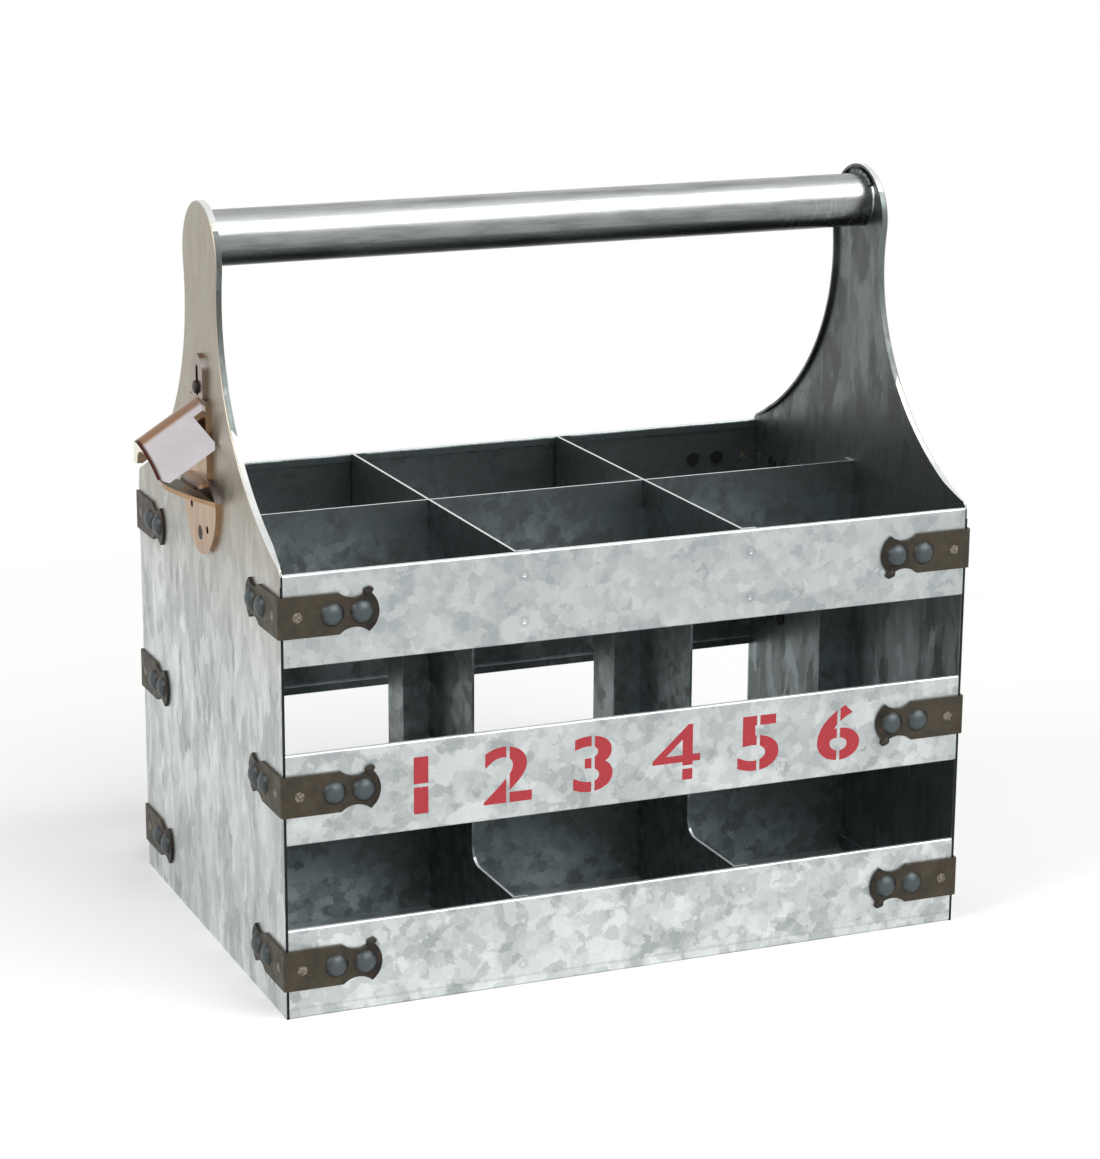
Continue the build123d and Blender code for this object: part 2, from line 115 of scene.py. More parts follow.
# Opener: slope of its hood, radius and place of the round its front is cut to, where the hood
# starts on the panel, and the height of its jaw
HOOD_ANGLE = math.radians(32.0)
HOOD_RADIUS = 54.0 * MM
HOOD_CENTRE = 37.2 * MM + HOOD_RADIUS
OPENER_ROOT = (-165.0 * MM, -1.5 * MM, 258.5 * MM)
JAW_RIM = 219.0 * MM

# Lumps of a weld: degrees from the tube's top, radius and distance from the panel in millimetres
WELD_LUMPS = (
    (-44, 1.5, 0.8), (-30, 2.0, 1.2), (-17, 2.5, 1.8), (-6, 2.2, 2.4), (-4, 2.7, 0.9),
    (9, 2.6, 1.9), (15, 2.1, 0.7), (24, 2.3, 1.4), (36, 1.9, 1.0), (48, 1.4, 0.7),
)

# Lumps of a strap's tack: shift along and across the strap and radius in millimetres
TACK_LUMPS = ((0.0, 0.0, 1.9), (1.1, 0.8, 1.5), (-0.6, -1.2, 1.4))

# Grain of the skin that runs lumps together
MELT_GRAIN = 0.45 * MM

# Colours that stay as they are: painted highlight of upward rims, bared steel of the lug, painted
# shadow of the hood's bend and painted shade in the opener's jaw
RIM_HIGHLIGHT = "EEF2F2"
BARED_STEEL = "7E7A76"
HOOD_BEND_SHADOW = "4A2A22"
JAW_SHADE = "1E1C1C"

# Softboxes: place, width, height and power
LAMPS = {
    "key_softbox": ((0.77, -1.43, 1.8), 2.6, 1.5, 42.0),
    "side_softbox": ((-1.9, -0.5, 1.5), 1.2, 1.2, 22.0),
}


def linear(code):
    """Linear red, green and blue of an sRGB hex colour."""
    channels = [int(code[i:i + 2], 16) / 255 for i in (0, 2, 4)]
    return tuple(c / 12.92 if c <= 0.04045 else ((c + 0.055) / 1.055) ** 2.4 for c in channels)


def add_node(tree, kind, inputs=(), output=0, **settings):
    """Add a shader node with its settings and return one of its outputs.

    Inputs are in order or by key, each a value or another node's output.
    """
    node = tree.nodes.new(f"ShaderNode{kind}")
    for name, value in settings.items():
        setattr(node, name, value)
    for key, value in inputs.items() if isinstance(inputs, dict) else enumerate(inputs):
        socket = node.inputs[key]
        if isinstance(value, bpy.types.NodeSocket):
            tree.links.new(value, socket)
        elif socket.type == "RGBA" and len(value) == 3:
            socket.default_value = (*value, 1)
        else:
            socket.default_value = value
    return node.outputs[output]


def new_material(name):
    """A material, its node tree and its surface shader."""
    material = bpy.data.materials.new(name)
    material.use_nodes = True
    tree = material.node_tree
    return material, tree, tree.nodes["Principled BSDF"]


def dress(names, material):
    """Give CAD nodes a material."""
    for name in names:
        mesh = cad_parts[name].data
        if not mesh.materials:
            mesh.materials.append(material)
        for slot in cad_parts[name].material_slots:
            slot.material = material


class SheetSettings(bpy.types.PropertyGroup):
    """Galvanised sheet of the slats, end panels, tray and dividers"""

    light_zinc: FloatVectorProperty(
        name="Light spangle", description="Colour of the brightest zinc crystals",
        subtype="COLOR", size=3, min=0, max=1, default=linear("DADEDE"),
    )
    dark_zinc: FloatVectorProperty(
        name="Dark spangle", description="Colour of the dullest zinc crystals",
        subtype="COLOR", size=3, min=0, max=1, default=linear("A2A8A9"),
    )
    # Cut edges: oxidised steel, darkened to near black with painted shade of the gap beside them
    cut_edge_oxide_and_shade: FloatVectorProperty(
        name="Cut edge", description="Colour of the bare steel along the sheet's cut edges",
        subtype="COLOR", size=3, min=0, max=1, default=linear("2A2D2E"),
    )
    # Painted shade and reflection: this colour darkens the inside of the box, standing for its
    # shade and the dark bottles it mirrors; it also draws the hem's painted shadow line and marks
    # the spot welds
    shade_and_weld_mark_zinc: FloatVectorProperty(
        name="Inside zinc", description="Colour of the dull zinc inside the box",
        subtype="COLOR", size=3, min=0, max=1, default=linear("5F6B6D"),
    )
    # Colour that the end panels grow towards their top, browner and darker
    upper_panel_zinc: FloatVectorProperty(
        name="Handled zinc", description="Colour of the zinc that hands have browned",
        subtype="COLOR", size=3, min=0, max=1, default=linear("A39C8E"),
    )
    spangle_size: FloatProperty(
        name="Spangle size", description="Width of a large zinc crystal",
        unit="LENGTH", min=0.001, default=12 * MM,
    )
    roughness: FloatProperty(
        name="Roughness", description="Roughness of the zinc",
        subtype="FACTOR", min=0, max=1, default=0.4,
    )


class HandleSettings(bpy.types.PropertyGroup):
    """Zinc-plated tube of the handle and its welds"""

    tube_zinc: FloatVectorProperty(
        name="Tube zinc", description="Colour of the drawn, plated tube",
        subtype="COLOR", size=3, min=0, max=1, default=linear("CDD1CF"),
    )
    # Painted shade: colour of the tube's underside
    underside_shade_zinc: FloatVectorProperty(
        name="Dull zinc", description="Colour of the tube's underside, where no hand rubs it",
        subtype="COLOR", size=3, min=0, max=1, default=linear("4E5654"),
    )
    weld_metal: FloatVectorProperty(
        name="Weld metal", description="Colour of the burnt weld metal",
        subtype="COLOR", size=3, min=0, max=1, default=linear("4A4C4D"),
    )


class StrapSettings(bpy.types.PropertyGroup):
    """Oxidised iron of the corner straps and their rivets"""

    brown_iron: FloatVectorProperty(
        name="Brown iron", description="Colour of the oxidised straps",
        subtype="COLOR", size=3, min=0, max=1, default=linear("4B4539"),
    )
    black_iron: FloatVectorProperty(
        name="Black iron", description="Colour of the darkest oxide",
        subtype="COLOR", size=3, min=0, max=1, default=linear("272422"),
    )
    rust: FloatVectorProperty(
        name="Rust", description="Colour of the faint rust",
        subtype="COLOR", size=3, min=0, max=1, default=linear("5E4032"),
    )
    pin_steel: FloatVectorProperty(
        name="Pin steel", description="Colour of a pin's flat head",
        subtype="COLOR", size=3, min=0, max=1, default=linear("8A8275"),
    )
    rivet_steel: FloatVectorProperty(
        name="Rivet steel", description="Colour of a rivet head worn bright",
        subtype="COLOR", size=3, min=0, max=1, default=linear("51585A"),
    )


class OpenerSettings(bpy.types.PropertyGroup):
    """Copper-plated bottle opener"""

    # Painted reflection: colour of the hood's flanks, as if they mirrored bright surroundings
    flank_reflection: FloatVectorProperty(
        name="Bright flank", description="Colour of the hood's flanks, polished nearly white",
        subtype="COLOR", size=3, min=0, max=1, default=linear("BAB6B9"),
    )
    # Painted reflection: colour of the lip, as if it mirrored the light floor
    lip: FloatVectorProperty(
        name="Lip", description="Colour of the worn lip under the hood",
        subtype="COLOR", size=3, min=0, max=1, default=linear("F0E9DC"),
    )
    copper: FloatVectorProperty(
        name="Copper", description="Colour of the plating",
        subtype="COLOR", size=3, min=0, max=1, default=linear("AF9173"),
    )
    # Colour of the browned streaks, and of the painted reflection on the ridge
    toned_copper_and_ridge_reflection: FloatVectorProperty(
        name="Toned copper", description="Colour of the plating where it has browned",
        subtype="COLOR", size=3, min=0, max=1, default=linear("8C6A55"),
    )


class NumeralSettings(bpy.types.PropertyGroup):
    """Numerals painted through a stencil on the front middle slat"""

    text: StringProperty(
        name="Numerals", description="Numerals from left to right", default="123456",
    )
    red_paint: FloatVectorProperty(
        name="Red paint", description="Colour of the stencil paint",
        subtype="COLOR", size=3, min=0, max=1, default=linear("AA2430"),
    )
    height: FloatProperty(
        name="Height", description="Height of a numeral", unit="LENGTH", min=0.001, default=26 * MM,
    )
    row_start: FloatProperty(
        name="Row start", description="Place of the first numeral's middle along the slat",
        unit="LENGTH", default=-102 * MM,
    )
    row_end: FloatProperty(
        name="Row end", description="Place of the last numeral's middle along the slat",
        unit="LENGTH", default=102 * MM,
    )
    boldness: FloatProperty(
        name="Boldness", description="How far a numeral's outline is pushed out",
        min=0, max=0.05, default=0.02,
    )
    bridge: FloatProperty(
        name="Bridge", description="Width of the stencil's bridges",
        unit="LENGTH", min=0, default=1.6 * MM,
    )
    paint: FloatProperty(
        name="Paint", description="Thickness of the paint",
        unit="LENGTH", min=0.00001, default=0.12 * MM,
    )


class StageSettings(bpy.types.PropertyGroup):
    """Camera, lamps and floor"""

    image_width: IntProperty(
        name="Image width", description="Width of the image in pixels",
        subtype="PIXEL", default=1100,
    )
    image_height: IntProperty(
        name="Image height", description="Height of the image in pixels",
        subtype="PIXEL", default=1159,
    )
    focal_length: FloatProperty(
        name="Focal length", description="Focal length in pixels", default=3179.9,
    )
    axis_across: FloatProperty(
        name="Axis across", description="Pixel column of the camera's axis", default=444.2,
    )
    axis_down: FloatProperty(
        name="Axis down", description="Pixel row of the camera's axis", default=606.8,
    )
    camera_place: FloatVectorProperty(
        name="Camera place", description="Place of the camera",
        subtype="TRANSLATION", unit="LENGTH", size=3,
        default=(-566.1 * MM, -1335.6 * MM, 539.3 * MM),
    )
    camera_turn: FloatProperty(
        name="Camera turn", description="How far the camera looks to the right of straight back",
        subtype="ANGLE", default=math.radians(21.15),
    )
    camera_tilt: FloatProperty(
        name="Camera tilt", description="How far the camera looks down",
        subtype="ANGLE", default=math.radians(15.29),
    )
    camera_roll: FloatProperty(
        name="Camera roll", description="How far the camera leans to the right",
        subtype="ANGLE", default=math.radians(0.17),
    )
    floor_size: FloatProperty(
        name="Floor size", description="Side of the floor", unit="LENGTH", default=40.0,
    )
    floor_colour: FloatVectorProperty(
        name="Floor colour", description="Colour of the floor",
        subtype="COLOR", size=3, min=0, max=1, default=linear("F4F4F2"),
    )


def painted_inside_shade(tree, place, facing):
    """Share of painted shade: 1 on faces inside the box that don't look up, 0 elsewhere."""
    reach = add_node(tree, "VectorMath", [place], operation="ABSOLUTE")
    skin = 0.5 * MM
    within = add_node(
        tree, "Math", [
            add_node(
                tree, "Math", [add_node(tree, "SeparateXYZ", [reach], "X"), PANEL_INSIDE + skin],
                operation="LESS_THAN",
            ),
            add_node(
                tree, "Math", [add_node(tree, "SeparateXYZ", [reach], "Y"), SLAT_INSIDE + skin],
                operation="LESS_THAN",
            ),
        ],
        operation="MULTIPLY",
    )
    return add_node(
        tree, "Math", [within, add_node(tree, "Math", [facing, 0.6], operation="LESS_THAN")],
        operation="MULTIPLY",
    )


def weld_marks(tree, place):
    """1 in a ring round each spot weld on the top and bottom slats, 0 elsewhere."""
    spot = add_node(
        tree, "VectorMath", [place, (WELD_MIDDLE, 0, MIDDLE_HEIGHT)], operation="SUBTRACT",
    )
    spot = add_node(
        tree, "VectorMath",
        [add_node(tree, "VectorMath", [spot], operation="ABSOLUTE"), (WELD_REACH, 0, SLAT_PITCH)],
        operation="SUBTRACT",
    )
    spot = add_node(
        tree, "VectorMath",
        [add_node(tree, "VectorMath", [spot], operation="ABSOLUTE"), (0, 0, WELD_RISE)],
        operation="SUBTRACT",
    )
    spot = add_node(tree, "VectorMath", [spot, (1, 0, 1)], operation="MULTIPLY")
    away = add_node(tree, "VectorMath", [spot], "Value", operation="LENGTH")
    return add_node(
        tree, "Math", [
            add_node(tree, "MapRange", [away, 0.5 * MM, 1.4 * MM]),
            add_node(tree, "MapRange", [away, 3.2 * MM, 2.0 * MM]),
        ],
        operation="MULTIPLY",
    )


def galvanised_sheet(name, stretch=1.0, seam_height=None):
    """Hot-dip galvanised steel: zinc frozen in pale, feathered crystals, with painted shade inside
    the box and a painted highlight on upward rims.
    """
    sheet = bpy.context.scene.caddy_sheet
    material, tree, shader = new_material(name)
    place = add_node(tree, "TexCoord", (), "Object")
    facing = add_node(tree, "SeparateXYZ", [add_node(tree, "NewGeometry", (), "True Normal")], "Z")
    drawn = add_node(tree, "VectorMath", [place, (1, 1, stretch)], operation="MULTIPLY")
    # Crystal borders wander by up to most of a crystal, in feathers finer than a millimetre
    ripple = add_node(
        tree, "TexNoise", {
            "Vector": drawn, "Scale": 1 / (0.6 * sheet.spangle_size), "Detail": 6.0,
            "Roughness": 0.72,
        },
        "Color",
    )
    wander = 0.9 * sheet.spangle_size
    bent = add_node(
        tree, "VectorMath", [ripple, (wander, wander, wander), drawn], operation="MULTIPLY_ADD",
    )
    tones = []
    for share, softness in ((1.0, 0.25), (2.3, 0.1)):
        crystals = add_node(
            tree, "TexVoronoi",
            {"Vector": bent, "Scale": share / sheet.spangle_size, "Smoothness": softness},
            "Color", feature="SMOOTH_F1",
        )
        tones.append(add_node(tree, "SeparateColor", [crystals], "Red"))
    tones = add_node(tree, "Mix", {SHARE: 0.5, LOW: tones[0], HIGH: tones[1]})
    border = add_node(
        tree, "TexVoronoi", {"Vector": bent, "Scale": 2.3 / sheet.spangle_size}, "Distance",
        feature="DISTANCE_TO_EDGE",
    )
    frost = add_node(
        tree, "TexNoise",
        {"Vector": drawn, "Scale": 1 / (2.2 * MM), "Detail": 4.0, "Roughness": 0.7},
        "Fac",
    )
    frosted = add_node(tree, "Mix", {SHARE: 0.25, LOW: tones, HIGH: frost})
    zinc = add_node(
        tree, "Mix", {
            SHARE: add_node(tree, "MapRange", [frosted, 0.2, 0.8]),
            BELOW: sheet.dark_zinc, ABOVE: sheet.light_zinc,
        },
        MIXED, data_type="RGBA",
    )
    zinc = add_node(
        tree, "Mix", {
            SHARE: add_node(tree, "MapRange", [border, 0.05, 0.0, 0.0, 0.35]),
            BELOW: zinc, ABOVE: sheet.light_zinc,
        },
        MIXED, data_type="RGBA",
    )
    height = add_node(tree, "SeparateXYZ", [place], "Z")
    if stretch < 1:
        # Browner and darker towards the top of the end panels
        zinc = add_node(
            tree, "Mix", {
                SHARE: add_node(tree, "MapRange", [height, 140 * MM, 225 * MM]),
                BELOW: zinc, ABOVE: sheet.upper_panel_zinc,
            },
            MIXED, data_type="RGBA",
        )
    else:
        zinc = add_node(
            tree, "Mix", {
                SHARE: add_node(tree, "MapRange", [height, 30 * MM, 190 * MM, 0.0, 0.4]),
                BELOW: zinc, ABOVE: sheet.dark_zinc,
            },
            MIXED, data_type="RGBA",
        )
        zinc = add_node(
            tree, "Mix", {
                SHARE: add_node(
                    tree, "Math", [weld_marks(tree, place), 0.22], operation="MULTIPLY",
                ),
                BELOW: zinc, ABOVE: sheet.shade_and_weld_mark_zinc,
            },
            MIXED, data_type="RGBA",
        )
    if seam_height is not None:
        # Painted shadow: a faint darker line where the folded hem ends behind the sheet
        wavy = add_node(tree, "Math", [frost, 1.6 * MM, height], operation="MULTIPLY_ADD")
        hem_shadow_line = add_node(
            tree, "Math", [
                add_node(tree, "MapRange", [wavy, seam_height + 0.6 * MM, seam_height + 0.9 * MM]),
                add_node(
                    tree, "MapRange",
                    [wavy, seam_height + 2.4 * MM, seam_height + 1.2 * MM, 0.0, 0.22],
                ),
            ],
            operation="MULTIPLY",
        )
        zinc = add_node(
            tree, "Mix",
            {SHARE: hem_shadow_line, BELOW: zinc, ABOVE: sheet.shade_and_weld_mark_zinc},
            MIXED, data_type="RGBA",
        )
    # Painted highlight on upward hems and rims, painted shade inside the box, near black where the
    # end panels were cut
    zinc = add_node(
        tree, "Mix", {
            SHARE: add_node(tree, "MapRange", [facing, 0.5, 0.8, 0.0, 0.7]),
            BELOW: zinc, ABOVE: linear(RIM_HIGHLIGHT),
        },
        MIXED, data_type="RGBA",
    )
    # Painted shade and painted reflection inside the box: dull dark zinc standing for its shade and
    # the dark bottles it mirrors
    zinc = add_node(
        tree, "Mix", {
            SHARE: add_node(
                tree, "Math", [painted_inside_shade(tree, place, facing), 0.85], operation="MULTIPLY",
            ),
            BELOW: zinc,
            ABOVE: add_node(
                tree, "Mix", {
                    SHARE: add_node(tree, "MapRange", [frosted, 0.3, 0.7]),
                    BELOW: tuple(0.45 * c for c in sheet.shade_and_weld_mark_zinc),
                    ABOVE: sheet.shade_and_weld_mark_zinc,
                },
                MIXED, data_type="RGBA",
            ),
        },
        MIXED, data_type="RGBA",
    )
    # Near black cut edges of the end panels: oxidised steel with painted shade of the gap beside
    # them
    if stretch < 1:
        across = add_node(
            tree, "Math", [add_node(tree, "SeparateXYZ", [place], "Y")], operation="ABSOLUTE",
        )
        cut_face = add_node(
            tree, "Math", [across, cad_box[1].y - STRAP_PROUD - 0.2 * MM], operation="GREATER_THAN",
        )
        zinc = add_node(
            tree, "Mix",
            {SHARE: cut_face, BELOW: zinc, ABOVE: sheet.cut_edge_oxide_and_shade},
            MIXED, data_type="RGBA",
        )
    tree.links.new(zinc, shader.inputs["Base Color"])
    shader.inputs["Metallic"].default_value = 1.0
    rough = add_node(
        tree, "MapRange", [frosted, 0.2, 0.8, sheet.roughness + 0.08, sheet.roughness - 0.08],
    )
    tree.links.new(rough, shader.inputs["Roughness"])
    relief = add_node(tree, "Bump", {"Strength": 0.15, "Distance": 0.2 * MM, "Height": frosted})
    tree.links.new(relief, shader.inputs["Normal"])
    return material


def drawn_tube():
    """Drawn steel tube, bright zinc plated, with a painted highlight band above and painted shade
    below.
    """
    handle = bpy.context.scene.caddy_handle
    material, tree, shader = new_material("zinc_plated_tube")
    place = add_node(tree, "TexCoord", (), "Object")
    # Drawing lines a millimetre apart, coarser than real ones so that they show
    along = add_node(tree, "Mapping", {"Vector": place, "Scale": (25.0, 900.0, 900.0)})
    lines = add_node(tree, "TexNoise", {"Vector": along, "Scale": 1.0, "Detail": 3.0}, "Fac")
    # Patches of bright and greyer plating, some 4 mm wide and 30 mm long
    patchy = add_node(tree, "Mapping", {"Vector": place, "Scale": (30.0, 260.0, 260.0)})
    patches = add_node(
        tree, "TexNoise", {"Vector": patchy, "Scale": 1.0, "Detail": 5.0, "Roughness": 0.65}, "Fac",
    )
    grey = tuple(0.7 * c for c in handle.tube_zinc)
    colour = add_node(
        tree, "Mix", {
            SHARE: add_node(tree, "MapRange", [patches, 0.38, 0.58]),
            BELOW: grey, ABOVE: handle.tube_zinc,
        },
        MIXED, data_type="RGBA",
    )
    # Painted shade: the underside darkens down the tube's own height
    low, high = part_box("handle_tube")
    height = add_node(tree, "SeparateXYZ", [place], "Z")
    wavy = add_node(tree, "Math", [patches, 3.0 * MM, height], operation="MULTIPLY_ADD")
    middle = (low.z + high.z) / 2
    underside = add_node(tree, "MapRange", [wavy, middle + 4 * MM, middle - 9 * MM])
    colour = add_node(
        tree, "Mix",
        {SHARE: underside, BELOW: colour, ABOVE: handle.underside_shade_zinc},
        MIXED, data_type="RGBA",
    )
    # Painted highlight on a strip along the upper front and back; painted shade greys the crown and
    # the middle
    mirrored = add_node(tree, "VectorMath", [place], operation="ABSOLUTE")
    above = add_node(tree, "Math", [wavy, middle + 1.5 * MM], operation="SUBTRACT")
    rise = add_node(
        tree, "Math", [above, add_node(tree, "SeparateXYZ", [mirrored], "Y")], operation="ARCTAN2",
    )
    highlighted = add_node(
        tree, "Math", [
            add_node(tree, "MapRange", [rise, math.radians(9), math.radians(24)]),
            add_node(tree, "MapRange", [rise, math.radians(62), math.radians(44)]),
        ],
        operation="MULTIPLY",
    )
    shaded = add_node(
        tree, "Mix", {SHARE: 1.0, BELOW: colour, ABOVE: (0.6, 0.6, 0.6)}, MIXED,
        data_type="RGBA", blend_type="MULTIPLY",
    )
    colour = add_node(
        tree, "Mix", {SHARE: highlighted, BELOW: shaded, ABOVE: colour}, MIXED, data_type="RGBA",
    )
    # Fine slanting scratches near the right end
    slanted = add_node(
        tree, "Mapping", {"Vector": place, "Rotation": (0, 0, 0.6), "Scale": (900.0, 120.0, 120.0)},
    )
    scratch = add_node(tree, "TexNoise", {"Vector": slanted, "Scale": 1.0, "Detail": 2.0}, "Fac")
    scratch = add_node(tree, "MapRange", [scratch, 0.56, 0.62])
    end = add_node(
        tree, "MapRange", [add_node(tree, "SeparateXYZ", [place], "X"), 100 * MM, 150 * MM],
    )
    scored = add_node(tree, "Math", [scratch, end], operation="MULTIPLY")
    scored = add_node(tree, "Math", [scored, 0.5], operation="MULTIPLY")
    colour = add_node(
        tree, "Mix", {SHARE: scored, BELOW: colour, ABOVE: grey}, MIXED, data_type="RGBA",
    )
    tree.links.new(colour, shader.inputs["Base Color"])
    shader.inputs["Metallic"].default_value = 1.0
    tree.links.new(
        add_node(tree, "MapRange", [patches, 0.3, 0.7, 0.36, 0.22]), shader.inputs["Roughness"],
    )
    relief = add_node(tree, "Bump", {"Strength": 0.25, "Distance": 0.05 * MM, "Height": lines})
    tree.links.new(relief, shader.inputs["Normal"])
    return material


def weld_metal():
    """Mild steel weld, left as it froze: dark, scaly and half dull."""
    handle = bpy.context.scene.caddy_handle
    material, tree, shader = new_material("burnt_weld")
    place = add_node(tree, "TexCoord", (), "Object")
    scale = add_node(
        tree, "TexNoise", {"Vector": place, "Scale": 1 / (1.5 * MM), "Detail": 4.0}, "Fac",
    )
    bright = tuple(min(1.0, 2.4 * c) for c in handle.weld_metal)
    tone = add_node(tree, "MapRange", [scale, 0.42, 0.66])
    colour = add_node(
        tree, "Mix",
        {SHARE: tone, BELOW: handle.weld_metal, ABOVE: bright},
        MIXED, data_type="RGBA",
    )
    tree.links.new(colour, shader.inputs["Base Color"])
    shader.inputs["Metallic"].default_value = 1.0
    shader.inputs["Roughness"].default_value = 0.42
    relief = add_node(tree, "Bump", {"Strength": 0.6, "Distance": 0.3 * MM, "Height": scale})
    tree.links.new(relief, shader.inputs["Normal"])
    return material


def corner_reach(tree, place):
    """Distances of a point from its upright corner edge, along the slat and along the panel."""
    low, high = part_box("left_end_panel")
    half_length, half_width = -low.x, high.y
    mirrored = add_node(tree, "VectorMath", [place], operation="ABSOLUTE")
    inset = add_node(
        tree, "VectorMath", [(half_length, half_width, 0), mirrored], operation="SUBTRACT",
    )
    return [add_node(tree, "SeparateXYZ", [inset], axis) for axis in "XY"]


def oxidised_iron():
    """Strap iron in an oiled brown oxide: half dull, blotched, nearly black at its crescent end."""
    iron = bpy.context.scene.caddy_straps
    material, tree, shader = new_material("oxidised_strap_iron")
    place = add_node(tree, "TexCoord", (), "Object")
    blotch = add_node(
        tree, "TexNoise",
        {"Vector": place, "Scale": 1 / (7 * MM), "Detail": 5.0, "Roughness": 0.65},
        "Fac",
    )
    reach = add_node(tree, "Math", corner_reach(tree, place), operation="MAXIMUM")
    end = add_node(tree, "MapRange", [reach, 24 * MM, 40 * MM, 0.05, 1.0])
    spots = add_node(tree, "MapRange", [blotch, 0.36, 0.66])
    share = add_node(tree, "Mix", {SHARE: 0.6, LOW: spots, HIGH: end})
    oxide = add_node(
        tree, "Mix",
        {SHARE: share, BELOW: iron.brown_iron, ABOVE: iron.black_iron},
        MIXED, data_type="RGBA",
    )
    rusty = add_node(
        tree, "TexNoise", {"Vector": place, "Scale": 1 / (4 * MM), "Detail": 3.0}, "Fac",
    )
    colour = add_node(
        tree, "Mix", {
            SHARE: add_node(tree, "MapRange", [rusty, 0.58, 0.74, 0.0, 0.35]),
            BELOW: oxide, ABOVE: iron.rust,
        },
        MIXED, data_type="RGBA",
    )
    tree.links.new(colour, shader.inputs["Base Color"])
    shader.inputs["Metallic"].default_value = 0.75
    tree.links.new(
        add_node(tree, "MapRange", [blotch, 0.3, 0.7, 0.42, 0.62]), shader.inputs["Roughness"],
    )
    relief = add_node(tree, "Bump", {"Strength": 0.5, "Distance": 0.4 * MM, "Height": blotch})
    tree.links.new(relief, shader.inputs["Normal"])
    return material


def rivet_steel():
    """Blackened steel rivets whose crowns are rubbed back to a dark blue grey."""
    iron = bpy.context.scene.caddy_straps
    material, tree, shader = new_material("blackened_rivet_steel")
    place = add_node(tree, "TexCoord", (), "Object")
    sunk = add_node(tree, "Math", corner_reach(tree, place), operation="MINIMUM")
    grain = add_node(
        tree, "TexNoise", {"Vector": place, "Scale": 1 / (2.5 * MM), "Detail": 4.0}, "Fac",
    )
    worn_depth = add_node(tree, "Math", [grain, -2.2 * MM, sunk], operation="MULTIPLY_ADD")
    worn = add_node(tree, "MapRange", [worn_depth, -2.6 * MM, -4.6 * MM, 0.25, 1.0])
    colour = add_node(
        tree, "Mix",
        {SHARE: worn, BELOW: iron.black_iron, ABOVE: iron.rivet_steel},
        MIXED, data_type="RGBA",
    )
    tree.links.new(colour, shader.inputs["Base Color"])
    shader.inputs["Metallic"].default_value = 0.9
    shader.inputs["Roughness"].default_value = 0.42
    relief = add_node(tree, "Bump", {"Strength": 0.5, "Distance": 0.35 * MM, "Height": grain})
    tree.links.new(relief, shader.inputs["Normal"])
    return material


def pin_steel():
    """Cut-off steel pins, hammered flat and paler than the strap round them."""
    iron = bpy.context.scene.caddy_straps
    material, tree, shader = new_material("hammered_pin_steel")
    place = add_node(tree, "TexCoord", (), "Object")
    dents = add_node(
        tree, "TexNoise", {"Vector": place, "Scale": 1 / (1.2 * MM), "Detail": 3.0}, "Fac",
    )
    grimed = tuple(0.45 * c for c in iron.pin_steel)
    colour = add_node(
        tree, "Mix", {
            SHARE: add_node(tree, "MapRange", [dents, 0.42, 0.6]),
            BELOW: grimed, ABOVE: iron.pin_steel,
        },
        MIXED, data_type="RGBA",
    )
    tree.links.new(colour, shader.inputs["Base Color"])
    shader.inputs["Metallic"].default_value = 0.9
    shader.inputs["Roughness"].default_value = 0.45
    relief = add_node(tree, "Bump", {"Strength": 0.6, "Distance": 0.3 * MM, "Height": dents})
    tree.links.new(relief, shader.inputs["Normal"])
    return material


